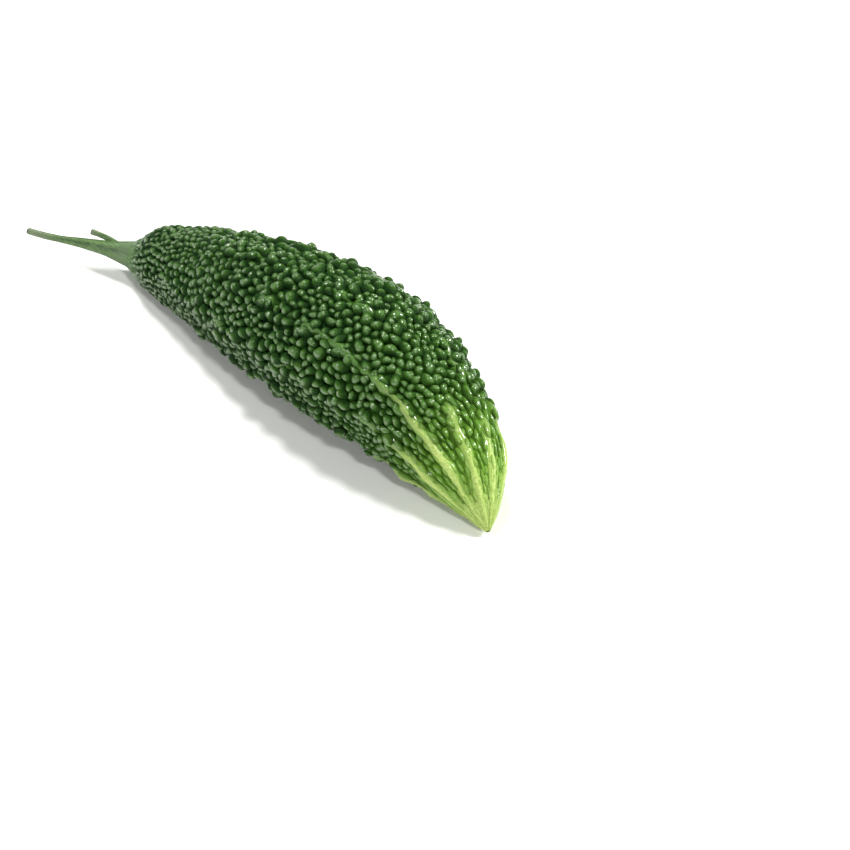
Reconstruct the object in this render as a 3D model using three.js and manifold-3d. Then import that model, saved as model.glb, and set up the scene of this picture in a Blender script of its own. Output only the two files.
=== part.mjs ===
// A bitter gourd as picked: a warty, ribbed fruit with its stalk, lying on its belly.
// Millimetres, +Z up. The origin is on the surface that the fruit lies on, under the middle of its
// box. +X runs along the fruit, from the stalk towards the tip.
import * as THREE from "three";
import { ConvexHull } from "three/addons/math/ConvexHull.js";
import { mergeVertices } from "three/addons/utils/BufferGeometryUtils.js";
import Module from "manifold-3d";

// The fruit: its length, where its neck starts and the middle of its box sideways
const FRUIT_LENGTH = 231;
const NECK_X = -90.5;
const MIDDLE_Y = -3.2;
const REST_CUT = 2; // how much of the lowest warts is pressed flat by the surface

// Stations: share of the fruit's length, radius over the warts, sideways shift of the centreline,
// and lift of the belly above the lowest warts
const STATIONS = [
  [0.0, 5.9, -3.3, 6.6],
  [0.035, 10.0, 0.2, 2.0],
  [0.075, 15.6, 2.2, 0.2],
  [0.11, 17.7, 2.7, 0.0],
  [0.17, 20.1, 3.2, 0.4],
  [0.26, 23.4, 3.3, 0.9],
  [0.35, 26.9, 3.1, 1.5],
  [0.45, 29.6, 2.8, 2.2],
  [0.54, 31.2, 2.8, 2.8],
  [0.61, 31.7, 3.1, 3.1],
  [0.66, 31.1, 3.3, 3.0],
  [0.73, 28.8, 3.5, 2.5],
  [0.79, 26.1, 3.1, 1.3],
  [0.855, 22.2, 1.5, 0.1],
  [0.92, 16.3, -1.7, -0.4],
  [0.953, 10.9, -4.2, 0.3],
  [0.978, 6.0, -6.6, 2.2],
  [1.0, 1.6, -8.9, 2.6],
];

// Relief: height of the warts and of the ridges above the creases, along the fruit
const WART_HEIGHT = [
  [0.0, 0.2],
  [0.04, 1.3],
  [0.14, 2.5],
  [0.35, 3.2],
  [0.7, 3.4],
  [0.85, 2.6],
  [0.95, 1.5],
  [1.0, 0.3],
];
const RIDGE_HEIGHT = [
  [0.0, 0.3],
  [0.05, 1.5],
  [0.2, 2.8],
  [0.45, 3.6],
  [0.7, 4.3],
  [0.86, 3.7],
  [0.95, 2.3],
  [1.0, 0.4],
];

// Warts: the pitch from one to the next, larger than on the real fruit so that each keeps its
// round form. Shoulders are the ring of points that round a wart between its crown and its foot.
const WART_PITCH = [
  [0.0, 5.2],
  [0.12, 6.4],
  [0.35, 7.65],
  [0.75, 7.85],
  [1.0, 6.6],
];
const ROW_SHARE_OF_PITCH = 0.87;
const FIRST_ROW = 0.022;
const LAST_ROW = 0.978;
const WARTS_UNTIL = 0.9;
const SHOULDER_REACH = 0.6;
const SHOULDER_HEIGHT = 0.8;
const SADDLE_HEIGHT = 0.84;
const SADDLE_HALF_WIDTH = 0.22; // as a share of the crease that it crosses
const SHORTEST_CREASE = 0.34; // shorter creases shrink to a point; as a share of the pitch

// Ridges: where each one runs, in degrees round the fruit from its +Y side towards the top
const RIDGE_DEGREES = [32, 68, 102, 136, 172, 212, 246, 284, 318, 354];
const RIDGE_SWAY_DEGREES = 3.5;
const RIDGE_UNBROKEN_FROM = 0.56;
const RIDGE_JOINED_BEFORE = 0.45; // share of the lumps that run together nearer the neck

// The stalk: how far its straight root runs from the neck, the points of its centreline from there
// to the cut end, and its radius from the neck to that end
const STALK_GAP = 0.3;
const STALK_ROOT = 3.5;
const STALK_SIDES = 20;
const STALK_POINTS = [
  [-98.5, -10.7, 10.8],
  [-103.3, -12.7, 10.6],
  [-113.7, -16.7, 10.0],
  [-125.6, -21.3, 9.0],
  [-140.7, -28.2, 8.0],
];
const STALK_RADII = [
  [0.0, 5.6],
  [0.08, 4.6],
  [0.17, 3.7],
  [0.27, 3.1],
  [0.47, 2.3],
  [0.75, 1.65],
  [0.97, 1.45],
  [1.0, 1.3],
];
const STUB_POINTS = [
  [-94.8, -7.7, 12.0],
  [-101.2, -8.4, 12.9],
  [-114.1, -11.6, 13.7],
];
const STUB_RADIUS = 1.25;

const wasm = await Module();
wasm.setup();

// A repeatable draw between 0 and 1, the same on every run
function seededRandom(seed) {
  let state = seed;
  return () => {
    state = (state + 0x6d2b79f5) | 0;
    let t = Math.imul(state ^ (state >>> 15), 1 | state);
    t = (t + Math.imul(t ^ (t >>> 7), 61 | t)) ^ t;
    return ((t ^ (t >>> 14)) >>> 0) / 4294967296;
  };
}

// A smooth curve through [place, value] pairs that never overshoots them
function smoothThrough(pairs) {
  const last = pairs.length - 1;
  const slopes = pairs.slice(1).map(([x, y], i) => (y - pairs[i][1]) / (x - pairs[i][0]));
  const tangents = pairs.map((_, i) => {
    if (i === 0) return slopes[0];
    if (i === last) return slopes[last - 1];
    const [before, after] = [slopes[i - 1], slopes[i]];
    return before * after <= 0 ? 0 : (2 * before * after) / (before + after);
  });
  return (x) => {
    const at = THREE.MathUtils.clamp(x, pairs[0][0], pairs[last][0]);
    let i = 0;
    while (i < last - 1 && at > pairs[i + 1][0]) i++;
    const width = pairs[i + 1][0] - pairs[i][0];
    const t = (at - pairs[i][0]) / width;
    const rise = pairs[i + 1][1] - pairs[i][1];
    const bend = tangents[i] * width - rise;
    const unbend = rise - tangents[i + 1] * width;
    return pairs[i][1] + t * rise + t * (1 - t) * ((1 - t) * bend + t * unbend);
  };
}

const column = (i) => smoothThrough(STATIONS.map((station) => [station[0], station[i]]));
const radiusOverWarts = column(1);
const sideways = column(2);
const bellyLift = column(3);
const wartHeight = smoothThrough(WART_HEIGHT);
const ridgeHeight = smoothThrough(RIDGE_HEIGHT);
const wartPitch = smoothThrough(WART_PITCH);

function centreline(share) {
  return new THREE.Vector3(
    NECK_X + share * FRUIT_LENGTH,
    MIDDLE_Y + sideways(share),
    radiusOverWarts(share) + bellyLift(share) - REST_CUT,
  );
}

// The section's own axes: along the centreline, to the fruit's +Y side and upwards
function sectionAxes(share) {
  const step = 0.03;
  const low = Math.max(0, share - step);
  const high = Math.min(1, share + step);
  const along = centreline(high).sub(centreline(low)).normalize();
  const side = new THREE.Vector3(0, 0, 1).cross(along).normalize();
  const up = along.clone().cross(side);
  return { along, side, up };
}

// A point of the skin: relief is its height above the creases
function skinPoint(share, angle, relief) {
  const { side, up } = sectionAxes(share);
  const radius = radiusOverWarts(share) - wartHeight(share) + relief;
  return centreline(share)
    .addScaledVector(side, radius * Math.cos(angle))
    .addScaledVector(up, radius * Math.sin(angle));
}

// The skin's map on a unit sphere. Its latitude grows by distance over radius, as on Mercator's
// chart, so small shapes keep their form and near neighbours on the fruit are near on the sphere.
const CHART_STEPS = 2000;
const chart = [0];
for (let i = 1; i <= CHART_STEPS; i++) {
  const share = (i - 0.5) / CHART_STEPS;
  chart.push(chart[i - 1] + FRUIT_LENGTH / CHART_STEPS / radiusOverWarts(share));
}
const chartMiddle = chart[CHART_STEPS] / 2;

function toSphere(share, angle) {
  const at = share * CHART_STEPS;
  const i = Math.min(CHART_STEPS - 1, Math.floor(at));
  const height = chart[i] + (chart[i + 1] - chart[i]) * (at - i) - chartMiddle;
  const ring = 1 / Math.cosh(height);
  return new THREE.Vector3(ring * Math.cos(angle), ring * Math.sin(angle), Math.tanh(height));
}

function fromSphere(seat) {
  const height = Math.atanh(THREE.MathUtils.clamp(seat.z, -1 + 1e-12, 1 - 1e-12)) + chartMiddle;
  let i = 0;
  while (i < CHART_STEPS - 1 && chart[i + 1] < height) i++;
  const share = (i + (height - chart[i]) / (chart[i + 1] - chart[i])) / CHART_STEPS;
  return { share: THREE.MathUtils.clamp(share, 0, 1), angle: Math.atan2(seat.y, seat.x) };
}

function liftToSkin(seat, relief) {
  const { share, angle } = fromSphere(seat);
  return skinPoint(share, angle, relief);
}

function ridgeAngle(ridge, share) {
  const k = ridge % RIDGE_DEGREES.length;
  const turn = ridge < RIDGE_DEGREES.length ? 0 : 360;
  const fade = (1 - share) * Math.min(1, 8 * share);
  const sway = RIDGE_SWAY_DEGREES * Math.sin(9 * share + 2.4 * k) * fade;
  return THREE.MathUtils.degToRad(RIDGE_DEGREES[k] + turn + sway);
}

// Rows ring the fruit, one wart pitch after another, evened out to end at the last one
function rowPlaces() {
  const rows = [FIRST_ROW];
  while (rows.at(-1) < LAST_ROW) {
    rows.push(rows.at(-1) + (ROW_SHARE_OF_PITCH * wartPitch(rows.at(-1))) / FRUIT_LENGTH);
  }
  const evened = (LAST_ROW - FIRST_ROW) / (rows.at(-1) - FIRST_ROW);
  return rows.map((row) => FIRST_ROW + (row - FIRST_ROW) * evened);
}

// Each row has a lump on every ridge, and warts between neighbouring ridges that are staggered
// along the fruit and shifted one way and the other from row to row.
function placeLumps(random) {
  const lumps = [];
  const lastOnRidge = RIDGE_DEGREES.map(() => -1);
  for (const [row, share] of rowPlaces().entries()) {
    const pitch = wartPitch(share);
    for (let k = 0; k < RIDGE_DEGREES.length; k++) {
      const angle = ridgeAngle(k, share);
      const joined = share > RIDGE_UNBROKEN_FROM || random() < RIDGE_JOINED_BEFORE;
      const height = ridgeHeight(share) * (joined ? 1 : 0.82 + 0.18 * random());
      const joinedTo = joined ? lastOnRidge[k] : -1;
      lastOnRidge[k] = lumps.length;
      lumps.push({ seat: toSphere(share, angle), height, joinedTo });
      if (share > WARTS_UNTIL) continue;
      const width = ridgeAngle(k + 1, share) - angle;
      const count = Math.round((width * radiusOverWarts(share)) / pitch) - 1;
      for (let j = 0; j < count; j++) {
        const shift = (row % 2 ? 0.15 : -0.15) + 0.2 * (random() - 0.5);
        const stagger = (count % 2 ? 0.5 : (j + 1) / 3) + 0.3 * (random() - 0.5);
        const place = share + (stagger * ROW_SHARE_OF_PITCH * pitch) / FRUIT_LENGTH;
        const seat = toSphere(place, angle + (width * (j + 1 + shift)) / (count + 1));
        lumps.push({ seat, height: wartHeight(share) * (0.76 + 0.3 * random()), joinedTo: -1 });
      }
    }
  }
  return lumps;
}

// Where creases meet: midway between every three lumps that are neighbours, taken from the convex
// hull of their seats on the sphere. Corners that are very near each other become one.
function creaseCorners(lumps) {
  const index = new Map(lumps.map((lump, i) => [lump.seat, i]));
  const hull = new ConvexHull().setFromPoints(lumps.map((lump) => lump.seat));
  const corners = new Map();
  for (const face of hull.faces) {
    const between = [0, 1, 2].map((i) => index.get(face.getEdge(i).head().point));
    const corner = { between, seat: face.normal.clone(), skin: liftToSkin(face.normal, 0) };
    corner.same = corner;
    corners.set(face, corner);
  }
  const root = (corner) => (corner.same === corner ? corner : root(corner.same));
  for (const [face, corner] of corners) {
    for (const i of [0, 1, 2]) {
      const other = corners.get(face.getEdge(i).twin.face);
      const near = SHORTEST_CREASE * wartPitch(fromSphere(corner.seat).share);
      if (corner.skin.distanceTo(other.skin) < near) root(corner).same = root(other);
    }
  }
  for (const corner of corners.values()) {
    corner.same = root(corner);
    if (corner.same !== corner) corner.same.seat.add(corner.seat);
  }
  for (const corner of corners.values()) corner.seat.normalize();
  return [...corners.values()];
}

// The fruit's closed skin. Each lump is a dome over its own patch: foot points where creases meet,
// a ring of shoulders above them and a crown. Joined lumps of a ridge share a raised saddle.
function fruitGeometry() {
  const neck = { seat: new THREE.Vector3(0, 0, -1), height: 0, joinedTo: -1 };
  const tip = { seat: new THREE.Vector3(0, 0, 1), height: wartHeight(1), joinedTo: -1 };
  const lumps = [...placeLumps(seededRandom(20)), neck, tip];
  const corners = creaseCorners(lumps);
  const around = lumps.map(() => []);
  for (const corner of corners) {
    for (const i of corner.between) around[i].push(corner);
    if (corner.between.includes(lumps.indexOf(neck))) corner.same.onNeck = true;
  }

  const points = [];
  const index = [];
  const addPoint = (point) => points.push(point) - 1;
  for (const corner of corners.filter((each) => each.same === each)) {
    const { share, angle } = fromSphere(corner.seat);
    corner.foot = addPoint(skinPoint(corner.onNeck ? 0 : share, angle, 0));
  }

  const saddles = new Map();
  const saddleBetween = (a, b, from, to) => {
    const key = `${from.foot} ${to.foot}`;
    if (!saddles.has(key)) {
      const relief = SADDLE_HEIGHT * Math.min(lumps[a].height, lumps[b].height);
      const ends = [0.5 - SADDLE_HALF_WIDTH, 0.5 + SADDLE_HALF_WIDTH].map((way) => {
        const seat = from.seat.clone().lerp(to.seat, way).normalize();
        return addPoint(liftToSkin(seat, relief));
      });
      saddles.set(key, ends);
      saddles.set(`${to.foot} ${from.foot}`, [ends[1], ends[0]]);
    }
    return saddles.get(key);
  };

  // The lump that this one is joined to across the crease from one corner to the next
  const joinedAcross = (i, from, to) => {
    const beside = around[i].filter((each) => each.same === from).flatMap((each) => each.between);
    return beside.find((other) => {
      const joined = lumps[other].joinedTo === i || lumps[i].joinedTo === other;
      return joined && around[other].some((each) => each.same === to);
    });
  };

  for (const [i, lump] of lumps.entries()) {
    const atEnd = lump === neck || lump === tip;
    const east = atEnd ? new THREE.Vector3(1, 0, 0) : new THREE.Vector3(0, 0, 1).cross(lump.seat);
    const north = lump.seat.clone().cross(east.normalize());
    const bearing = (corner) => Math.atan2(corner.seat.dot(north), corner.seat.dot(east));
    const patch = [...new Set(around[i].map((corner) => corner.same))];
    patch.sort((a, b) => bearing(a) - bearing(b));
    const after = (k) => (k + 1) % patch.length;

    const crown = addPoint(atEnd ? centreline(lump === neck ? 0 : 1) : liftToSkin(lump.seat, lump.height));
    if (lump === neck) {
      patch.forEach((corner, k) => index.push(crown, corner.foot, patch[after(k)].foot));
      continue;
    }
    const spans = patch.map((corner) => corner.seat.distanceTo(lump.seat));
    const meanSpan = spans.reduce((sum, span) => sum + span, 0) / spans.length;
    const shoulders = patch.map((corner, k) => {
      const reach = Math.min(0.74, (SHOULDER_REACH * meanSpan) / spans[k]);
      const seat = lump.seat.clone().lerp(corner.seat, reach).normalize();
      return addPoint(liftToSkin(seat, SHOULDER_HEIGHT * lump.height));
    });
    patch.forEach((corner, k) => {
      const [foot, nextFoot] = [corner.foot, patch[after(k)].foot];
      const [shoulder, nextShoulder] = [shoulders[k], shoulders[after(k)]];
      index.push(crown, shoulder, nextShoulder);
      const beyond = joinedAcross(i, corner, patch[after(k)]);
      if (beyond === undefined) {
        index.push(shoulder, foot, nextFoot, shoulder, nextFoot, nextShoulder);
      } else {
        const [saddle, nextSaddle] = saddleBetween(i, beyond, corner, patch[after(k)]);
        index.push(shoulder, foot, saddle, nextShoulder, nextSaddle, nextFoot);
        index.push(shoulder, saddle, nextSaddle, shoulder, nextSaddle, nextShoulder);
      }
    });
  }
  return new THREE.BufferGeometry().setFromPoints(points).setIndex(index);
}

// A closed tube with a section of given radius at each step along a curve
function taperedTube(points, radiusAt, steps, sides) {
  const curve = new THREE.CatmullRomCurve3(points);
  const positions = [];
  const index = [];
  for (let i = 0; i <= steps; i++) {
    const centre = curve.getPointAt(i / steps);
    const along = curve.getTangentAt(i / steps);
    const side = new THREE.Vector3(0, 0, 1).cross(along).normalize();
    const up = along.clone().cross(side);
    for (let j = 0; j < sides; j++) {
      const angle = (2 * Math.PI * j) / sides;
      const point = centre.clone();
      point.addScaledVector(side, radiusAt(i / steps, angle) * Math.cos(angle));
      point.addScaledVector(up, radiusAt(i / steps, angle) * Math.sin(angle));
      positions.push(point);
      const next = i * sides + ((j + 1) % sides);
      const here = i * sides + j;
      if (i < steps) index.push(here, next, here + sides, next, next + sides, here + sides);
    }
  }
  const first = positions.push(curve.getPointAt(0), curve.getPointAt(1)) - 2;
  for (let j = 0; j < sides; j++) {
    const next = (j + 1) % sides;
    index.push(first, next, j);
    index.push(first + 1, steps * sides + j, steps * sides + next);
  }
  return new THREE.BufferGeometry().setFromPoints(positions).setIndex(index);
}

function toSolid(geometry) {
  geometry.deleteAttribute("normal");
  geometry.deleteAttribute("uv");
  const merged = mergeVertices(geometry, 1e-4);
  const vertProperties = new Float32Array(merged.getAttribute("position").array);
  const triVerts = new Uint32Array(merged.index.array);
  return new wasm.Manifold(new wasm.Mesh({ numProp: 3, vertProperties, triVerts }));
}

function toGeometry(solid) {
  const mesh = solid.getMesh();
  const geometry = new THREE.BufferGeometry();
  geometry.setAttribute("position", new THREE.BufferAttribute(new Float32Array(mesh.vertProperties), 3));
  geometry.setIndex(new THREE.BufferAttribute(new Uint32Array(mesh.triVerts), 1));
  geometry.computeVertexNormals();
  return geometry;
}

// The fruit with its lowest warts cut flat at the surface
function makeFruit() {
  const below = new THREE.BoxGeometry(400, 200, 40).translate(0, 0, -20);
  const solid = toSolid(fruitGeometry()).subtract(toSolid(below));
  const skin = new THREE.MeshStandardMaterial({ color: 0x2f6420, roughness: 0.38, metalness: 0 });
  const mesh = new THREE.Mesh(toGeometry(solid), skin);
  mesh.name = "fruit";
  return mesh;
}

// The stalk with five shallow grooves, and the short cut stub beside its root
function makeStalk() {
  const taper = smoothThrough(STALK_RADII);
  const grooved = (share, angle) => taper(share) * (1 + 0.05 * Math.cos(5 * angle));
  const { along } = sectionAxes(0);
  const root = centreline(0).addScaledVector(along, -STALK_GAP);
  const rootEnd = root.clone().addScaledVector(along, -STALK_ROOT);
  const stalkPath = [root, rootEnd, ...STALK_POINTS.map((point) => new THREE.Vector3(...point))];
  const stubPath = STUB_POINTS.map((point) => new THREE.Vector3(...point));
  const stalk = toSolid(taperedTube(stalkPath, grooved, 22, STALK_SIDES));
  const stub = toSolid(taperedTube(stubPath, () => STUB_RADIUS, 5, 8));
  const skin = new THREE.MeshStandardMaterial({ color: 0x5d8049, roughness: 0.6, metalness: 0 });
  const mesh = new THREE.Mesh(toGeometry(stalk.add(stub)), skin);
  mesh.name = "stalk";
  return mesh;
}

const gourd = new THREE.Group();
gourd.add(makeFruit(), makeStalk());

export default gourd;
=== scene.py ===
# %% [markdown]
# # A bitter gourd, as picked
#
# A bitter gourd is a fruit with a skin full of warts. From a step away four things tell it from any
# other green fruit: a spindle with a bent back, round warts packed side by side with dark creases
# between them, ten smooth ridges that run together at a pale tip, and a thin, bent stalk.
#
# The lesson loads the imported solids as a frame, lays a finer skin and stalk over them, gives both a
# finish made of nodes, and ends with the floor, the lights and the camera. Lengths in the tables
# are millimetres, because a grower would measure them so; meshes are in metres.

# %% Load the frame
import math

import bpy
import numpy as np
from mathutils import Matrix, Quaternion, Vector


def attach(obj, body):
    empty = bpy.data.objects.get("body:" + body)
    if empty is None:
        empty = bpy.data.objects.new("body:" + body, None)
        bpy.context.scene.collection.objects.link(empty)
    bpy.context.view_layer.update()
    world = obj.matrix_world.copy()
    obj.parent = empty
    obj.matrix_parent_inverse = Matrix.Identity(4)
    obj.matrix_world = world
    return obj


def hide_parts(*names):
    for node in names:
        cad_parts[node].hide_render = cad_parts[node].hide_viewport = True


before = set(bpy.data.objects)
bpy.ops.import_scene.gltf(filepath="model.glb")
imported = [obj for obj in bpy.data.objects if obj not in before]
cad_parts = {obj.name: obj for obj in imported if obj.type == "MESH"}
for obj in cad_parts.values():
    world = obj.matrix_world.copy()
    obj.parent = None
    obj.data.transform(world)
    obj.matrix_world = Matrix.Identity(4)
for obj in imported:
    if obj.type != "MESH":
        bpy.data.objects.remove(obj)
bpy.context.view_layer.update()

# %% [markdown]
# ## Curves through a few measured values
#
# A fruit is measured at a few stations: how thick it is there, how far it bends. Between stations
# its outline neither dips nor bulges, so the curve must not overshoot. A monotone cubic does that:
# its slope at a station is the harmonic mean of the slopes on both sides, and zero where they turn.

# %% A smooth curve through stations
def smooth_through(pairs):
    """Returns f(x) through the pairs. On each stretch, with t from 0 to 1 across it, f is the
    straight line plus t(1 - t) times a blend of how far the end slopes lie off that line."""
    xs, ys = np.array(pairs, float).T
    slopes = np.diff(ys) / np.diff(xs)
    before, after = slopes[:-1], slopes[1:]
    turning = before * after <= 0
    inner = np.where(turning, 0, 2 * before * after / np.where(turning, 1, before + after))
    tangents = np.r_[slopes[0], inner, slopes[-1]]

    def f(x):
        at = np.clip(x, xs[0], xs[-1])
        i = np.clip(np.searchsorted(xs, at) - 1, 0, len(xs) - 2)
        width, rise = xs[i + 1] - xs[i], ys[i + 1] - ys[i]
        t = (at - xs[i]) / width
        bend, unbend = tangents[i] * width - rise, rise - tangents[i + 1] * width
        return ys[i] + t * rise + t * (1 - t) * ((1 - t) * bend + t * unbend)

    return f


def ease(low, high, x):
    """0 up to low, 1 from high on, and the S-curve t*t*(3 - 2t) between; it falls if low is larger."""
    t = np.clip((x - low) / (high - low), 0, 1)
    return t * t * (3 - 2 * t)


# %% [markdown]
# ## The body of the fruit
#
# The body is a row of round sections along a bent centreline. The bend could be a curve object with
# a bevel, but then the warts would need a second tool. A function of two numbers does both: how far
# along the fruit (0 at the neck, 1 at the tip) and which way round it.

# %% Stations along the fruit
MM = 0.001
FRUIT_LENGTH = 231.0
NECK_X, MIDDLE_Y = -90.5, -3.2  # where the neck starts, and the middle of the fruit's box sideways
REST_CUT = 2.0  # how much of the lowest warts the surface takes away
STATIONS = np.array([  # share of the length, radius over the warts, sideways shift, lift of the belly
    (0.0, 6.3, -3.3, 6.4), (0.035, 11.4, 0.0, 1.6), (0.075, 15.6, 1.9, 0.1), (0.11, 17.4, 2.6, 0.0),
    (0.17, 20.1, 3.2, 0.4), (0.26, 23.4, 3.3, 0.9), (0.35, 26.9, 3.1, 1.5), (0.45, 29.6, 2.8, 2.2),
    (0.54, 31.2, 2.8, 2.8), (0.61, 31.7, 3.1, 3.1), (0.66, 31.1, 3.3, 3.0), (0.73, 28.8, 3.5, 2.5),
    (0.79, 26.1, 3.1, 1.3), (0.855, 22.2, 1.5, 0.1), (0.92, 16.3, -1.7, -0.4), (0.953, 10.9, -4.2, 0.3),
    (0.978, 6.0, -6.6, 2.2), (1.0, 1.6, -8.9, 2.6)])
radius_over_warts = smooth_through(STATIONS[:, [0, 1]])
sideways = smooth_through(STATIONS[:, [0, 2]])
belly_lift = smooth_through(STATIONS[:, [0, 3]])


def centreline(share):
    """The middle of the section at each share: x grows evenly, y shifts sideways, and z is the
    radius plus the lift, so that the belly stays near the surface however thick the fruit is."""
    z = radius_over_warts(share) + belly_lift(share) - REST_CUT
    return np.stack([NECK_X + share * FRUIT_LENGTH, MIDDLE_Y + sideways(share), z], axis=-1)


def section_axes(along):
    """Two unit directions square to `along`: side is level, and up is along cross side."""
    along = along / np.linalg.norm(along, axis=-1, keepdims=True)
    side = np.cross([0, 0, 1.0], along)
    side /= np.linalg.norm(side, axis=-1, keepdims=True)
    return along, side, np.cross(along, side)


def fruit_axes(share, reach=0.03):
    """The section's axes, with the way along measured between two points `reach` to each side."""
    high, low = np.clip(share + reach, 0, 1), np.clip(share - reach, 0, 1)
    return section_axes(centreline(high) - centreline(low))


thickest = 2 * radius_over_warts(np.linspace(0, 1, 500)).max()
print("thickest:", thickest.round(1), "mm over the warts, away from the lumps under the ridges")

# %% [markdown]
# ## Ridges
#
# Ten ridges run from neck to tip. Near both ends they are whole; on the belly only short lengths of
# them show between the warts. At the tip, thinner ones start in the valleys. All of them sway and
# swell a little, or the fruit would look turned on a lathe.

# %% Tables of the ridges
draw = np.random.default_rng(11).random
MAIN_RIDGES, THIN_RIDGES = 10, 20
MAIN_DEGREES = np.array([32, 68, 102, 136, 172, 212, 246, 284, 318, 354.0])
MAIN_WHOLE_FROM = np.array([0.84, 0.86, 0.86, 0.56, 0.79, 0.74, 0.82, 0.62, 0.86, 0.76])  # a share
SHOWING_PHASE = np.array([0.0, 2.1, 3.8, 0.1, 2.5, 2.1, 0.2, 2.4, 2.5, 0.3])  # of the short lengths
thin_degrees = (np.arange(THIN_RIDGES) + 0.7 * draw(THIN_RIDGES)) * 360 / THIN_RIDGES
ridge_degrees = np.r_[MAIN_DEGREES, thin_degrees]
whole_from = np.r_[MAIN_WHOLE_FROM, 0.83 + 0.10 * draw(THIN_RIDGES)]
half_widths = np.r_[np.full(MAIN_RIDGES, 1.9), 0.9 + 0.5 * draw(THIN_RIDGES)]
ridge_rises = np.r_[np.full(MAIN_RIDGES, 1.0), 0.45 + 0.4 * draw(THIN_RIDGES)]
is_main = np.arange(MAIN_RIDGES + THIN_RIDGES) < MAIN_RIDGES
print(len(ridge_degrees), "ridges, the first whole from", whole_from.min())


# %% Where a ridge runs and how strong it is
def ridge_path(n, share):
    """Angle of ridge n: its own, plus a slow sway that dies out at both ends, plus a quick wobble."""
    sway = 3.5 * np.sin(9 * share + 2.4 * n) * (1 - share) * np.minimum(1, 8 * share)
    wobble = 1.1 * np.sin(47 * share + 1.9 * n) + 0.7 * np.sin(101 * share + 4.1 * n)
    return np.radians(ridge_degrees[n] + sway + wobble * ease(1.0, 0.9, share) * ease(0, 0.1, share))


def ridge_strength(n, share):
    """1 where ridge n is whole: past its start, and for the ten main ones also at the neck. Between,
    a main ridge comes and goes with a sine of the share."""
    whole = ease(-0.05, 0.08, share - whole_from[n])
    if is_main[n]:
        showing = ease(0.25, 0.95, np.sin(2 * np.pi * (3.4 + 0.41 * n) * share + SHOWING_PHASE[n]))
        whole = np.maximum(whole, 0.8 * showing * ease(0.02, 0.12, share))
        whole = np.maximum(whole, ease(0.12, 0.04, share))
    return whole


def ridge_reach(n, share):
    """Half the width of ridge n in millimetres: wider past 0.7, but never more than a part of the
    radius, so that all ridges find room at the tip."""
    wider = 1 + 0.35 * ease(0.7, 0.88, share) * is_main[n]
    at_most = (0.15 if is_main[n] else 0.08) * radius_over_warts(share)
    return np.minimum(half_widths[n] * wider, at_most)


def off_ridge(n, share, angle):
    """Signed distance in millimetres, round the skin, from the middle of ridge n."""
    turn = (angle - ridge_path(n, share) + np.pi) % (2 * np.pi) - np.pi
    return turn * radius_over_warts(share)


# %% [markdown]
# ## Height of the skin between the warts
#
# The skin itself is the floor of the creases. Under each main ridge it swells into a row of broad
# lumps, which make the fruit's outline bumpy, and the narrow ridge stands on those. Both come from
# the distance to the ridge, so one function serves a whole grid as well as the seat of one wart.

# %% Skin height
wart_height = smooth_through([(0.0, 0.2), (0.03, 1.0), (0.09, 1.7), (0.14, 2.0), (0.35, 3.0),
                              (0.7, 3.2), (0.85, 2.2), (0.93, 1.1), (0.97, 0.5), (1.0, 0.1)])
crease_depth = smooth_through([(0.0, 0.1), (0.04, 0.4), (0.09, 1.1), (0.14, 1.8), (0.35, 2.9),
                               (0.7, 3.1), (0.85, 2.7), (0.93, 2.1), (0.97, 1.1), (1.0, 0.1)])
ridge_height = smooth_through([(0.0, 0.5), (0.06, 1.1), (0.2, 2.2), (0.5, 3.0), (0.75, 3.3),
                               (0.88, 2.9), (0.95, 1.9), (1.0, 0.3)])
KEEL_HEIGHT = 2.0


def skin_relief(share, angle):
    """Returns the height over the creases' floor, and how much of a ridge the point has. A ridge is
    (1 - q*q) to the power 0.6, with q the distance over the half-width, and three sines of the
    share swell and thin it; the shortest fades out before the tip. The keel under it is exp(-q*q)
    of a wider reach, and a wavering sine parts it into lumps about 15 mm long on the belly."""
    height = 0.35 * np.sin(31 * share + 3 * angle) * np.sin(7 * angle - 23 * share) * ease(0, 0.2, share)
    ridge = np.zeros(np.broadcast(share, angle).shape)
    crest = np.zeros_like(ridge)
    radius, belly = radius_over_warts(share), ease(0.1, 0.45, share)
    for n in range(len(ridge_degrees)):
        away = off_ridge(n, share, angle)
        lumpy = 1 + 0.14 * np.sin(83 * share + 5 * n) + 0.11 * np.sin(149 * share + 3 * n)
        lumpy = lumpy + 0.22 * np.sin(290 * share + 7 * n) * ease(0.88, 0.76, share)
        narrow = ridge_reach(n, share) * lumpy
        shape = np.clip(1 - (away / narrow) ** 2, 0, 1) ** 0.6 * ridge_strength(n, share)
        rise = ridge_height(share) * ridge_rises[n] * (0.9 + 0.5 * (lumpy - 1))
        crest = np.maximum(crest, shape * rise)
        ridge = np.maximum(ridge, shape * (1.0 if is_main[n] else 0.75))
        if is_main[n]:
            lumps = np.sin(97 * share + 4 * n + 1.2 * np.sin(23 * share + 2 * n)) * belly
            level = 0.55 + 0.2 * (1 - belly) + 0.65 * lumps
            keel = np.exp(-(away / (0.17 * radius + 1)) ** 2) * level
            height = height + KEEL_HEIGHT * keel * ease(0.03, 0.25, share) * ease(1.0, 0.8, share)
    return np.maximum(height, 0) + crest * (1 - 0.1 * np.clip(height, 0, 1)), ridge


def floor_radius(share):
    """Radius of the creases' floor, which closes like the end of an ellipse in the last 2 percent."""
    end = np.sqrt(1 - np.clip((share - 0.98) / 0.02, 0, 1) ** 2)
    return (radius_over_warts(share) - crease_depth(share)) * end


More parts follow.
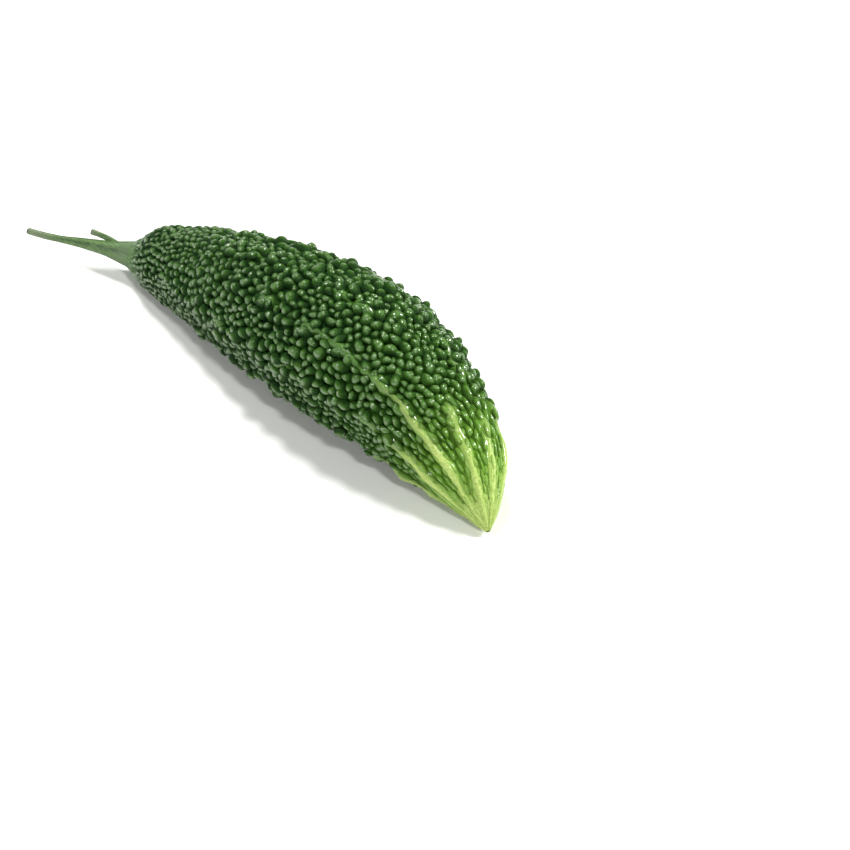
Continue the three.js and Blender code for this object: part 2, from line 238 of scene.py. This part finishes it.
def skin_point(share, angle, relief):
    """The point of the skin at a height over the creases' floor, with the way out of the skin and
    the way along it. Both lean with the slope of the radius, or warts would stand askew on the
    cones of the neck and the tip."""
    along, side, up = fruit_axes(share)
    radial = np.cos(angle)[..., None] * side + np.sin(angle)[..., None] * up
    near = 0.006
    slope = (floor_radius(share + near) - floor_radius(share - near)) / (2 * near * FRUIT_LENGTH)
    slope = np.clip(slope, -1.5, 1.5)[..., None]
    steep = np.sqrt(1 + slope ** 2)
    point = centreline(share) + (floor_radius(share) + relief)[..., None] * radial
    return point, (radial - slope * along) / steep, (along + slope * radial) / steep


# %% [markdown]
# The rows are closer where the fruit is thin, because the ridges are finer there. Low parts are
# pressed flat by a soft limit, as if the skin gave way on the surface that it lies on.

# %% The grid of the skin
AROUND, ALONG = 400, 245
fine = np.linspace(0, 1, 4001)
spacing = np.r_[0, np.cumsum(np.maximum(radius_over_warts(fine[1:]), 1.5) ** -0.5)]
share = np.interp(np.linspace(0, spacing[-1], ALONG), spacing, fine)[:, None]
angle = (2 * np.pi * np.arange(AROUND) / AROUND)[None, :]
share, angle = np.broadcast_arrays(share, angle)
relief, ridge = skin_relief(share, angle)


def press_flat(points, softness=0.3):
    """Lifts z to softness times log(1 + exp(z / softness)), which never goes below the surface."""
    points[..., 2] = softness * np.logaddexp(0, points[..., 2] / softness)
    return points


skin = press_flat(skin_point(share, angle, relief)[0])
print("skin grid:", ALONG, "rows of", AROUND, "- reaches", skin.max(axis=(0, 1)).round(1), "mm")

# %% [markdown]
# ## From a grid to a mesh
#
# The grid closes on itself round the fruit, and a single point closes each end. The numbers that the
# finish will need, such as how high a point stands above the creases, go in as attributes: they
# belong to the point, so they stay right however the fruit is turned.

# %% Meshes from arrays
def new_piece(name, points, faces, attributes):
    """Makes an object from points in millimetres, faces as lists of rows, and values per point."""
    mesh = bpy.data.meshes.new(name)
    mesh.from_pydata((points * MM).tolist(), [], [face for rows in faces for face in rows.tolist()])
    for label, values in attributes.items():
        layer = mesh.attributes.new(label, "FLOAT", "POINT")
        layer.data.foreach_set("value", values.astype(np.float32))
    mesh.polygons.foreach_set("use_smooth", np.ones(len(mesh.polygons), bool))
    mesh.update()
    piece = bpy.data.objects.new(name, mesh)
    bpy.context.scene.collection.objects.link(piece)
    print(name, "has", sum(len(rows) * (rows.shape[1] - 2) for rows in faces), "triangles")
    return piece


def tube_faces(rows, columns):
    """Quads join each row to the next; fans join the end rows to two points after the grid. Rows
    turn from side to up, so the faces look outwards."""
    here = np.arange(rows * columns).reshape(rows, columns)
    beside = np.roll(here, -1, axis=1)
    quads = np.stack([here[:-1], beside[:-1], beside[1:], here[1:]], axis=-1).reshape(-1, 4)
    first = np.full(columns, rows * columns)
    start_fan = np.stack([beside[0], here[0], first], axis=1)
    end_fan = np.stack([here[-1], beside[-1], first + 1], axis=1)
    return [quads, np.r_[start_fan, end_fan]]


def closed_tube(name, grid, start, end, attributes):
    """A tube from a grid of rows, closed at both ends; its values at the ends are row averages."""
    points = np.r_[grid.reshape(-1, 3), [start, end]]
    values = {label: np.r_[v.ravel(), v[0].mean(), v[-1].mean()] for label, v in attributes.items()}
    return new_piece(name, points, tube_faces(*grid.shape[:2]), values)


skin_values = {"relief": np.clip(relief / np.maximum(wart_height(share), 0.8), 0, 1), "ridge": ridge,
               "along": share, "tone": 0.5 + 0 * share}
fruit_skin = closed_tube("fruit_skin", skin, centreline(0.0), centreline(1.0), skin_values)

# %% [markdown]
# ## Warts
#
# Some two and a half thousand warts stand side by side, each with room to itself. They could be
# scattered by a particle system, but that overlaps them. Here they start at random and push each
# other apart, as growing warts do, towards the room that their size asks for. Ridges push too.

# %% Draw the warts
wart_pitch = smooth_through([(0.0, 1.8), (0.05, 2.8), (0.14, 3.4), (0.3, 3.95), (0.55, 4.15),
                             (0.78, 3.85), (0.9, 2.85), (0.97, 2.05), (1.0, 1.7)])
longer = smooth_through([(0.0, 1.7), (0.08, 1.25), (0.25, 1.03), (0.75, 1.03), (0.88, 1.6), (1.0, 2.6)])
SKIN_PER_WART = 0.79  # of the square of the pitch
profile = floor_radius(fine)
gone = np.r_[0, np.cumsum(np.hypot(np.diff(fine) * FRUIT_LENGTH, np.diff(profile)))]  # way on the skin
density = 2 * np.pi * np.maximum(profile, 1) / (SKIN_PER_WART * wart_pitch(fine) ** 2 * longer(fine))
crowd = np.r_[0, np.cumsum(density[1:] * np.diff(gone))]
WARTS = int(crowd[-1])
draw = np.random.default_rng(5).random
wart_gone = np.interp((np.arange(WARTS) + draw(WARTS)) * crowd[-1] / WARTS, crowd, gone)
wart_angle = 2 * np.pi * draw(WARTS)
wart_share = np.interp(wart_gone, gone, fine)
to_ridges = [np.abs(off_ridge(n, wart_share, wart_angle)) for n in range(MAIN_RIDGES)]
near_ridge = np.min(to_ridges, axis=0)
on_keel = np.exp(-(near_ridge / (0.13 * radius_over_warts(wart_share) + 1)) ** 2)
# A few warts in a hundred are swollen, but none beside a ridge or near the ends
swollen = (draw(WARTS) < 0.03) & (near_ridge > 4) & (wart_share > 0.2) & (wart_share < 0.86)
wart_room = 0.5 * wart_pitch(wart_share) * (0.70 + 0.42 * draw(WARTS) + 0.28 * on_keel + 0.5 * swollen)
print(WARTS, "warts,", (2 * wart_room.min()).round(1), "to", (2 * wart_room.max()).round(1), "mm wide")


# %% Let them push each other apart
FIRST_WART, LAST_WART = 0.016, 0.965  # as shares of the way on the skin
STEP, RIDGE_STEP = 0.35, 0.3  # shares of what is lacking that a wart moves in one round


def spread_out(gone_at, angle, room, rounds):
    """In each round every pair that stands closer than the sum of its rooms moves apart by a share
    of what it lacks, and every wart moves off the ridges that it stands on."""
    for _ in range(rounds):
        share = np.interp(gone_at, gone, fine)
        r = np.maximum(np.interp(gone_at, gone, profile), 1.5).astype(np.float32)
        dx = ((gone_at[:, None] - gone_at[None]) / longer(share)[:, None]).astype(np.float32)
        turn = (angle[:, None] - angle[None] + np.pi).astype(np.float32) % (2 * np.pi) - np.pi
        dy = turn * 0.5 * (r[:, None] + r[None])
        apart = np.hypot(dx, dy) + 1e-3
        lack = np.clip((room[:, None] + room[None]).astype(np.float32) - apart, 0, None) / apart
        gone_at = gone_at + STEP * (lack * dx).sum(1) * longer(share)
        gone_at = np.clip(gone_at, FIRST_WART * gone[-1], LAST_WART * gone[-1])
        push = STEP * (lack * dy).sum(1)
        for n in range(len(ridge_degrees)):
            away = off_ridge(n, share, angle)
            wanted = ridge_strength(n, share) * (0.8 * ridge_reach(n, share) + 0.5 * room) - np.abs(away)
            push = push + RIDGE_STEP * np.sign(away) * np.clip(wanted, 0, None)
        angle = angle + push / r
    return gone_at, angle


wart_gone, wart_angle = spread_out(wart_gone, wart_angle, wart_room, 22)
wart_share = np.interp(wart_gone, gone, fine)
print("spread over", wart_share.min().round(3), "to", wart_share.max().round(3), "of the length")

# %% [markdown]
# One wart is a bead: a wide foot sunk into the skin, a shoulder and a rounded top. Fifty faces are
# enough, because it is repeated thousands of times. Each gets its own width, height, lean and
# out-of-round. Towards the tip they grow long and low, as if the skin there was stretched.

# %% Beads on the skin
SIDES = 10
RISE = np.array([-0.40, 0.22, 0.66, 0.92])  # of the four rows, as shares of the wart's height
REACH = np.array([1.10, 0.97, 0.74, 0.42])  # and as shares of its room


def beads(share, angle, room, seed):
    """Points of every bead, as warts by rows by sides, and the points of its foot and top. With b
    the angle round a bead, its reach is room * REACH * (1 + 0.20 cos(2b - p) + 0.12 cos(3b - q)),
    stretched along the fruit, and its rise is the wart's height * RISE."""
    draw = np.random.default_rng(seed).random
    count = len(share)
    p, q, tall = 2 * np.pi * draw(count), 2 * np.pi * draw(count), 0.78 + 0.34 * draw(count)
    seat_relief, on_ridge = skin_relief(share, angle)
    seat, out, along = skin_point(share, angle, seat_relief)
    lean = (0.7 - 0.5 * ease(0.78, 0.9, share))[:, None] * (draw((count, 3)) - 0.5)
    axis = out + lean
    axis /= np.linalg.norm(axis, axis=1, keepdims=True)
    across = np.cross(axis, along)
    across /= np.linalg.norm(across, axis=1, keepdims=True)
    length = np.cross(across, axis)
    b = 2 * np.pi * np.arange(SIDES) / SIDES
    size = room * (1 - 0.5 * on_ridge)
    out_of_round = 1 + 0.20 * np.cos(2 * b - p[:, None]) + 0.12 * np.cos(3 * b - q[:, None])
    wide = 1.06 * size[:, None] * out_of_round
    stretch = longer(share) * (0.92 + 0.3 * draw(count))
    high = wart_height(share) * tall * (0.62 + 0.38 * room / room.mean())
    high = np.minimum(high, 1.5 * size / stretch) * (1 - 0.9 * on_ridge)
    x = (wide * np.cos(b) * stretch[:, None])[:, None, :, None] * length[:, None, None]
    y = (wide * np.sin(b) / np.sqrt(stretch)[:, None])[:, None, :, None] * across[:, None, None]
    z = (high[:, None] * RISE)[:, :, None, None] * axis[:, None, None]
    rings = seat[:, None, None] + (x + y) * REACH[None, :, None, None] + z
    foot, top = seat + RISE[0] * high[:, None] * axis, seat + high[:, None] * axis
    return rings, foot, top


def bead_piece(name, chosen, seed):
    """All chosen beads in one mesh: each is a tube of four rows, closed by its foot and its top."""
    at, turned = wart_share[chosen], wart_angle[chosen]
    rings, foot, top = beads(at, turned, wart_room[chosen], seed)
    count, rows = rings.shape[:2]
    points = np.concatenate([rings.reshape(count, -1, 3), foot[:, None], top[:, None]], axis=1)
    first = (np.arange(count) * points.shape[1])[:, None, None]
    faces = [(first + kind[None]).reshape(-1, kind.shape[1]) for kind in tube_faces(rows, SIDES)]
    level = np.r_[np.repeat(np.clip(RISE, 0, 1), SIDES), 0, 1]
    tone = 0.8 * np.random.default_rng(seed + 1).random(count) + 0.5 * swollen[chosen]
    beside = np.zeros(count)
    for n in range(MAIN_RIDGES):
        away = off_ridge(n, at, turned)
        beside = np.maximum(beside, 0.7 * ridge_strength(n, at) * np.exp(-(away / 3.2) ** 2))
    values = {"relief": np.tile(level, count), "ridge": np.repeat(beside, len(level)),
              "along": np.repeat(at, len(level)), "tone": np.repeat(tone, len(level))}
    return new_piece(name, press_flat(points.reshape(-1, 3)), faces, values)


MIDDLE = 0.52  # where the warts are parted into two pieces of about the same size
neck_warts = bead_piece("neck_warts", wart_share < MIDDLE, 21)
tip_warts = bead_piece("tip_warts", wart_share >= MIDDLE, 31)

# %% [markdown]
# ## The stalk
#
# The stalk is a thin stem with five blunt ribs, wide where it grows into the neck. Beside its root
# stands the stub of a second stem, with four. Both are a ribbed section carried along a path, which
# a curve with a round bevel can't give.

# %% A path with evenly spaced rows
def path_through(points, steps):
    """Even steps along the monotone cubic through the points, by distance along it."""
    points = np.array(points, float)
    gone = np.r_[0, np.cumsum(np.linalg.norm(np.diff(points, axis=0), axis=1))]
    at = np.linspace(0, gone[-1], steps)
    return np.stack([smooth_through(np.stack([gone, points[:, i]], 1))(at) for i in range(3)], axis=1)


def ribbed_stem(name, points, radii, steps, sides, ribs, seed):
    """Each row is a circle of the given radius, times 1 + 0.10 cos(ribs * angle) for the ribs and
    a slow unevenness of 3 percent made of a few sine waves with seeded phases."""
    middle = path_through(points, steps)
    along, side, up = section_axes(np.gradient(middle, axis=0))
    share = np.linspace(0, 1, steps)[:, None]
    angle = (2 * np.pi * np.arange(sides) / sides)[None, :]
    waves = np.random.default_rng(seed).random(4) * 2 * np.pi
    uneven = sum(np.sin((9 + 7 * n) * share + (n - 1) * angle + waves[n]) for n in range(4)) / 4
    rib = np.cos(ribs * angle + 0.6 * share)
    radius = smooth_through(radii)(share) * (1 + 0.10 * rib + 0.03 * uneven)
    out = np.cos(angle)[..., None] * side[:, None] + np.sin(angle)[..., None] * up[:, None]
    grid = middle[:, None] + radius[..., None] * out
    full = np.ones((steps, sides))
    return closed_tube(name, grid, middle[0], middle[-1] - 0.25 * along[-1],
                       {"along": share * full, "rib": 0.5 + 0.5 * rib * full})


# %% The stalk and the stub
neck_along = fruit_axes(0.0)[0]
neck = centreline(0.0)
root = [neck + 3.0 * neck_along, neck - 0.3 * neck_along, neck - 3.8 * neck_along]
stalk_points = root + [(-98.5, -10.7, 11.0), (-103.3, -12.7, 10.8), (-113.7, -16.7, 9.8),
                       (-125.6, -21.3, 8.2), (-133.5, -24.8, 7.7), (-140.7, -28.2, 8.0)]
stalk_radii = [(0, 5.5), (0.05, 6.1), (0.12, 5.3), (0.19, 4.3), (0.3, 3.25), (0.5, 2.25), (0.76, 1.5),
               (0.97, 1.5), (0.995, 1.35), (1, 0.9)]
stalk_skin = ribbed_stem("stalk_skin", stalk_points, stalk_radii, 150, 60, 5, 3)
stub_points = [(-94.8, -7.7, 12.0), (-101.2, -8.4, 12.9), (-107.0, -9.6, 13.5), (-114.1, -11.6, 13.7)]
stub_radii = [(0, 1.6), (0.3, 1.4), (0.8, 1.35), (0.97, 1.5), (1, 1.0)]
stub_skin = ribbed_stem("stub_skin", stub_points, stub_radii, 60, 32, 4, 4)

# %% [markdown]
# ## Shared effects
#
# Skin and stalk are the same plant, so two effects serve both: a mottle, for the uneven green, and
# fine fibres, for the lengthwise streaks of the tip and the stalk. Each is a node group with its own
# inputs, so one change mends both finishes.

# %% Helpers for node trees
def add(tree, kind, inputs=None, **settings):
    """Adds one node; `inputs` maps socket names or numbers to values or to other nodes' sockets."""
    node = tree.nodes.new(kind)
    for label, value in settings.items():
        setattr(node, label, value)
    for socket, value in (inputs or {}).items():
        if isinstance(value, bpy.types.NodeSocket):
            tree.links.new(value, node.inputs[socket])
        else:
            node.inputs[socket].default_value = value
    return node


def math_node(tree, operation, a, b=0.0, c=0.0, clamp=False):
    node = add(tree, "ShaderNodeMath", {0: a, 1: b, 2: c}, operation=operation, use_clamp=clamp)
    return node.outputs[0]


def times(tree, a, b):
    return math_node(tree, "MULTIPLY", a, b)


def blend(tree, amount, a, b, blend_type="MIX"):
    """Colour a where the amount is 0, and b, or a product with it, where it is 1."""
    node = add(tree, "ShaderNodeMix", {0: amount, 6: a, 7: b}, data_type="RGBA", blend_type=blend_type)
    return node.outputs[2]


def between(tree, value, low, high, start=0.0, end=1.0):
    """Goes smoothly from start to end while the value goes from low to high."""
    node = add(tree, "ShaderNodeMapRange", {0: value, 1: low, 2: high, 3: start, 4: end},
               interpolation_type="SMOOTHSTEP")
    return node.outputs[0]


def new_group(name, inputs, outputs):
    """An empty node group with its sockets, and the nodes at its two ends."""
    group = bpy.data.node_groups.new(name, "ShaderNodeTree")
    for label, kind, value in inputs:
        socket = group.interface.new_socket(label, in_out="INPUT", socket_type=kind)
        if value is not None:
            socket.default_value = value
    for label, kind in outputs:
        group.interface.new_socket(label, in_out="OUTPUT", socket_type=kind)
    return group, group.nodes.new("NodeGroupInput"), group.nodes.new("NodeGroupOutput")


# %% The mottle: two sizes of cloudy unevenness, 0 to 1
mottle, given, result = new_group(
    "mottle", [("Vector", "NodeSocketVector", None), ("Size", "NodeSocketFloat", 60.0),
               ("Contrast", "NodeSocketFloat", 1.0)], [("Value", "NodeSocketFloat")])
broad = add(mottle, "ShaderNodeTexNoise", {"Vector": given.outputs[0], "Scale": given.outputs[1],
                                           "Detail": 3.0, "Roughness": 0.55}).outputs[0]
finer_scale = times(mottle, given.outputs[1], 5.5)
fine_noise = add(mottle, "ShaderNodeTexNoise", {"Vector": given.outputs[0], "Scale": finer_scale,
                                                "Detail": 2.0, "Roughness": 0.6}).outputs[0]
both = math_node(mottle, "MULTIPLY_ADD", fine_noise, 0.4, times(mottle, broad, 0.6))
centred = math_node(mottle, "SUBTRACT", both, 0.5)
stronger = times(mottle, given.outputs[2], 2.4)
spread = math_node(mottle, "MULTIPLY_ADD", centred, stronger, 0.5, clamp=True)
mottle.links.new(spread, result.inputs[0])
print("group:", mottle.name, "takes", [s.name for s in given.outputs if s.name])

# %% The fibres: noise drawn out along the fruit, 0 to 1
fibres, given, result = new_group(
    "fibres", [("Vector", "NodeSocketVector", None), ("Fineness", "NodeSocketFloat", 900.0),
               ("Length", "NodeSocketFloat", 0.12)], [("Value", "NodeSocketFloat")])
squeeze = add(fibres, "ShaderNodeCombineXYZ", {0: given.outputs[2], 1: 1.0, 2: 1.0}).outputs[0]
drawn_out = add(fibres, "ShaderNodeVectorMath", {0: given.outputs[0], 1: squeeze}, operation="MULTIPLY")
strands = add(fibres, "ShaderNodeTexNoise", {"Vector": drawn_out.outputs[0], "Scale": given.outputs[1],
                                             "Detail": 2.0, "Roughness": 0.5}).outputs[0]
fibres.links.new(between(fibres, strands, 0.36, 0.66), result.inputs[0])
print("group:", fibres.name, "takes", [s.name for s in given.outputs if s.name])

# %% [markdown]
# ## The skin's finish
#
# The skin is dark green, with painted shade in its creases, and paler on the wart tops: partly their own
# lighter green, partly a painted highlight where wax catches the light.
# Towards the tip it turns yellow-green: the ridges first, the valleys last. At the neck it is a dull
# grey-green. Colour could be painted on, but the attributes already know where everything is.

# %% Material of the skin
def new_material(name):
    """A material, its node tree, its shader, and the place of a point on the object."""
    material = bpy.data.materials.new(name)
    material.use_nodes = True
    tree = material.node_tree
    shader = tree.nodes["Principled BSDF"]
    place = add(tree, "ShaderNodeTexCoord").outputs["Object"]
    return material, tree, shader, place


def attribute(tree, name):
    return add(tree, "ShaderNodeAttribute", attribute_name=name).outputs["Fac"]


def use(tree, group, **inputs):
    return add(tree, "ShaderNodeGroup", inputs, node_tree=group).outputs[0]


# Painted shade: the dark green laid into the creases between the warts and on their feet.
PAINTED_SHADE_GREEN = (0.007, 0.038, 0.003, 1)
LEAF_GREEN = (0.010, 0.050, 0.003, 1)
WARM_GREEN = (0.042, 0.130, 0.007, 1)
# Paler wart tops: partly their own lighter green, partly painted highlight.
WART_TOP_AND_HIGHLIGHT = (0.097, 0.222, 0.040, 1)
TIP_VALLEY = (0.190, 0.400, 0.035, 1)
TIP_RIDGE = (0.590, 0.710, 0.225, 1)
NECK_GREEN = (0.135, 0.240, 0.095, 1)
SCAR_BROWN = (0.120, 0.090, 0.030, 1)

skin_finish, tree, shader, place = new_material("waxy_green_skin")
relief_at, ridge_at = attribute(tree, "relief"), attribute(tree, "ridge")
along_at, tone_at = attribute(tree, "along"), attribute(tree, "tone")
patches = use(tree, mottle, Vector=place, Size=38.0, Contrast=1.0)
specks = use(tree, mottle, Vector=place, Size=420.0, Contrast=1.2)
dimples = use(tree, mottle, Vector=place, Size=800.0, Contrast=1.0)
strands = use(tree, fibres, Vector=place, Fineness=1500.0, Length=0.12)

warmth = math_node(tree, "MULTIPLY_ADD", tone_at, 0.5, times(tree, patches, 0.5))
flesh = blend(tree, warmth, LEAF_GREEN, WARM_GREEN)
sunny = between(tree, along_at, 0.48, 0.88)
flesh = blend(tree, times(tree, sunny, 0.8), flesh, WARM_GREEN)
# The tops of the beads, where the paler green with its painted highlight goes.
tops = between(tree, relief_at, 0.72, 1.0)
past_neck = between(tree, along_at, 0.005, 0.05)
# Creases: the low parts of the skin and of each bead. They carry painted shade in the colour, and more
# roughness below.
creases = times(tree, between(tree, relief_at, 0.90, 0.30), past_neck)
# The painted shade in the creases, half as strong from 0.9 of the length on.
painted_crease_shade = times(tree, creases, between(tree, along_at, 0.6, 0.9, 1.0, 0.5))
colour = blend(tree, times(tree, tops, 0.65), flesh, WART_TOP_AND_HIGHLIGHT)
colour = blend(tree, painted_crease_shade, colour, PAINTED_SHADE_GREEN)

crest = math_node(tree, "POWER", ridge_at, 1.8)
ripe_from = math_node(tree, "MULTIPLY_ADD", crest, 0.08, along_at)
ripe_from = math_node(tree, "MULTIPLY_ADD", warmth, 0.07, ripe_from)
ripe = between(tree, ripe_from, 0.80, 1.04)
bright = math_node(tree, "MAXIMUM", crest, between(tree, along_at, 0.92, 1.0))
pale = blend(tree, bright, TIP_VALLEY, TIP_RIDGE)
pale = blend(tree, times(tree, strands, 0.4), pale, TIP_VALLEY)
# Painted shade: a darker green laid into the creases of the pale tip.
painted_tip_crease_shade = times(tree, creases, between(tree, along_at, 0.97, 0.80, 0.08, 0.5))
pale = blend(tree, painted_tip_crease_shade, pale, WARM_GREEN)
colour = blend(tree, ripe, colour, pale)
at_stalk = between(tree, along_at, 0.045, 0.01)
bare = math_node(tree, "MAXIMUM", between(tree, relief_at, 0.35, 0.95), at_stalk)
greyer = times(tree, between(tree, along_at, 0.12, 0.01), bare)
colour = blend(tree, greyer, colour, NECK_GREEN)
colour = blend(tree, between(tree, along_at, 0.9985, 0.9995), colour, SCAR_BROWN)
colour = blend(tree, times(tree, specks, 0.25), colour, colour, "MULTIPLY")
tree.links.new(colour, shader.inputs["Base Color"])

# %% [markdown]
# A real skin is waxy, but a clear coat all over would lay a grey veil on the dark green. So the coat
# is on the tops of the warts only, where it draws small glints, and the creases stay dull. It is
# weaker on the ridges and towards the tip. A fine bump of dimples breaks the glints up.

# %% Gloss and grain of the skin
wax = between(tree, specks, 0.2, 0.9, 0.22, 0.38)
wax = math_node(tree, "ADD", wax, times(tree, creases, 0.2), clamp=True)
tree.links.new(wax, shader.inputs["Roughness"])
grain = math_node(tree, "MULTIPLY_ADD", strands, times(tree, ripe, 0.4), dimples)
bump = add(tree, "ShaderNodeBump", {"Strength": 0.6, "Distance": 0.001, "Height": grain})
tree.links.new(bump.outputs[0], shader.inputs["Normal"])
uneven_wax = between(tree, specks, 0.1, 0.7, 0.5, 1.0)
shine = times(tree, between(tree, relief_at, 0.70, 1.0), uneven_wax)
shine = times(tree, shine, between(tree, crest, 0.1, 0.9, 1.0, 0.35))
shine = times(tree, shine, between(tree, ripe, 0.1, 1.0, 1.0, 0.4))
tree.links.new(shine, shader.inputs["Coat Weight"])
shader.inputs["Coat Roughness"].default_value = 0.12
shader.inputs["Coat IOR"].default_value = 1.85
shader.inputs["Specular IOR Level"].default_value = 0.12
for piece in (fruit_skin, neck_warts, tip_warts):
    piece.data.materials.append(skin_finish)
print(skin_finish.name, "uses", len(tree.nodes), "nodes")

# %% [markdown]
# ## The stalk's finish
#
# The stalk is a duller green with pale ribs and no gloss. It is greyer at its root, and dries at the
# cut end. The two stems share one material, because their attributes have the same names.

# %% Material of the stalk and the stub
STEM_GREEN = (0.022, 0.060, 0.011, 1)
STEM_PALE = (0.125, 0.230, 0.065, 1)
ROOT_GREY = (0.120, 0.185, 0.090, 1)
DRY_END = (0.175, 0.205, 0.125, 1)
CUT_DARK = (0.030, 0.036, 0.020, 1)

stem_finish, tree, shader, place = new_material("downy_stem")
along_at, rib_at = attribute(tree, "along"), attribute(tree, "rib")
patches = use(tree, mottle, Vector=place, Size=120.0, Contrast=1.0)
strands = use(tree, fibres, Vector=place, Fineness=1400.0, Length=0.08)
paler = math_node(tree, "MULTIPLY_ADD", strands, 0.5, times(tree, rib_at, 0.6), clamp=True)
colour = blend(tree, paler, STEM_GREEN, STEM_PALE)
colour = blend(tree, times(tree, patches, 0.35), colour, STEM_GREEN)
colour = blend(tree, between(tree, along_at, 0.32, 0.05, 0.0, 0.6), colour, ROOT_GREY)
colour = blend(tree, between(tree, along_at, 0.62, 0.98, 0.0, 0.75), colour, DRY_END)
colour = blend(tree, between(tree, along_at, 0.975, 0.995), colour, CUT_DARK)
tree.links.new(colour, shader.inputs["Base Color"])
tree.links.new(between(tree, patches, 0.1, 0.9, 0.5, 0.68), shader.inputs["Roughness"])
bump = add(tree, "ShaderNodeBump", {"Strength": 0.6, "Distance": 0.0005, "Height": strands})
tree.links.new(bump.outputs[0], shader.inputs["Normal"])
for piece in (stalk_skin, stub_skin):
    piece.data.materials.append(stem_finish)
print(stem_finish.name, "uses", len(tree.nodes), "nodes")

# %% [markdown]
# ## What stands for what
# The solids stay for weight and touch. Each new piece moves with the root body, and the solid that it
# stands for is hidden. Each new piece says which body it moves with, which solid it
# stands for, and which of the record's finishes it wears.

# %% Tie the pieces to the frame
ties = [(fruit_skin, "skin", "fruit"), (neck_warts, "skin", "fruit"), (tip_warts, "skin", "fruit"),
        (stalk_skin, "stalk", "stalk"), (stub_skin, "stalk", "stalk")]
for piece, slot, solid in ties:
    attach(piece, "root")
    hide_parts(solid)
    print(piece.name, "stands for", solid)

# %% [markdown]
# ## Floor, light and camera
#
# A plain pale floor takes a soft shadow. Four lights stand above, at the camera's side, at the right
# and at the left. They are far away, so the floor is evenly lit out to its edge, and each looks a few
# degrees wide, so the warts carry small round glints and the shadows have soft edges. The sky is
# bright to the camera and dim to the fruit, which keeps the creases dark before a white background.
# The camera looks down at about 38 degrees with a long lens, so the far stalk isn't made small.

# %% Floor
floor_mesh = bpy.data.meshes.new("floor")
EDGE = 12.0
corners = [(-EDGE, -EDGE, 0), (EDGE, -EDGE, 0), (EDGE, EDGE, 0), (-EDGE, EDGE, 0)]
floor_mesh.from_pydata(corners, [], [(0, 1, 2, 3)])
floor = bpy.data.objects.new("floor", floor_mesh)
bpy.context.scene.collection.objects.link(floor)
floor_finish, tree, shader, place = new_material("pale_floor")
patches = use(tree, mottle, Vector=place, Size=3.0, Contrast=0.4)
floor_colour = blend(tree, patches, (0.86, 0.86, 0.84, 1), (0.9, 0.9, 0.88, 1))
tree.links.new(floor_colour, shader.inputs["Base Color"])
shader.inputs["Roughness"].default_value = 0.7
floor_mesh.materials.append(floor_finish)

# %% Lights
def soft_light(name, towards, degrees, strength):
    """A far light that stands `towards` the given direction and looks `degrees` wide from the fruit.
    Its strength is the light on a surface that faces it, in watts per square metre."""
    data = bpy.data.lights.new(name, "SUN")
    data.angle, data.energy = math.radians(degrees), strength
    light = bpy.data.objects.new(name, data)
    light.location = Vector(towards)
    light.rotation_euler = Vector(towards).to_track_quat("Z", "Y").to_euler()
    bpy.context.scene.collection.objects.link(light)
    height = math.degrees(math.asin(Vector(towards).normalized().z))
    print(name, "stands", round(height), "degrees up")


soft_light("key", (-1.0, 0.3, 3.0), 10.5, 2.3)
soft_light("fill", (2.0, -0.9, 2.5), 7.0, 1.25)
soft_light("edge", (1.7, 2.5, 2.0), 15.0, 3.3)
soft_light("side", (-1.4, -2.2, 1.7), 6.5, 1.0)
SKY_ON_FRUIT, SKY_SEEN_MORE = 0.24, 0.68
world = bpy.data.worlds.new("pale_sky")
world.use_nodes = True
sky = world.node_tree.nodes["Background"]
sky.inputs[0].default_value = (1.0, 1.0, 0.97, 1)
seen = add(world.node_tree, "ShaderNodeLightPath").outputs["Is Camera Ray"]
brightness = math_node(world.node_tree, "MULTIPLY_ADD", seen, SKY_SEEN_MORE, SKY_ON_FRUIT)
world.node_tree.links.new(brightness, sky.inputs[1])
bpy.context.scene.world = world
bpy.context.scene.view_settings.view_transform = "Standard"

# %% Camera
AZIMUTH, ELEVATION, ROLL = np.radians([45.557, 38.308, 1.973])
DISTANCE, LENS = 0.8743, 94.7
aim = Vector((0.0990, -0.0077, 0.0280))
back = Vector((math.sin(AZIMUTH) * math.cos(ELEVATION), -math.cos(AZIMUTH) * math.cos(ELEVATION),
               math.sin(ELEVATION)))
camera_data = bpy.data.cameras.new("camera")
camera_data.lens = LENS
camera = bpy.data.objects.new("camera", camera_data)
camera.location = aim + DISTANCE * back
camera.rotation_euler = (Quaternion(back, ROLL) @ back.to_track_quat("Z", "Y")).to_euler()
bpy.context.scene.collection.objects.link(camera)
bpy.context.scene.camera = camera
print("camera at", [round(v, 3) for v in camera.location])
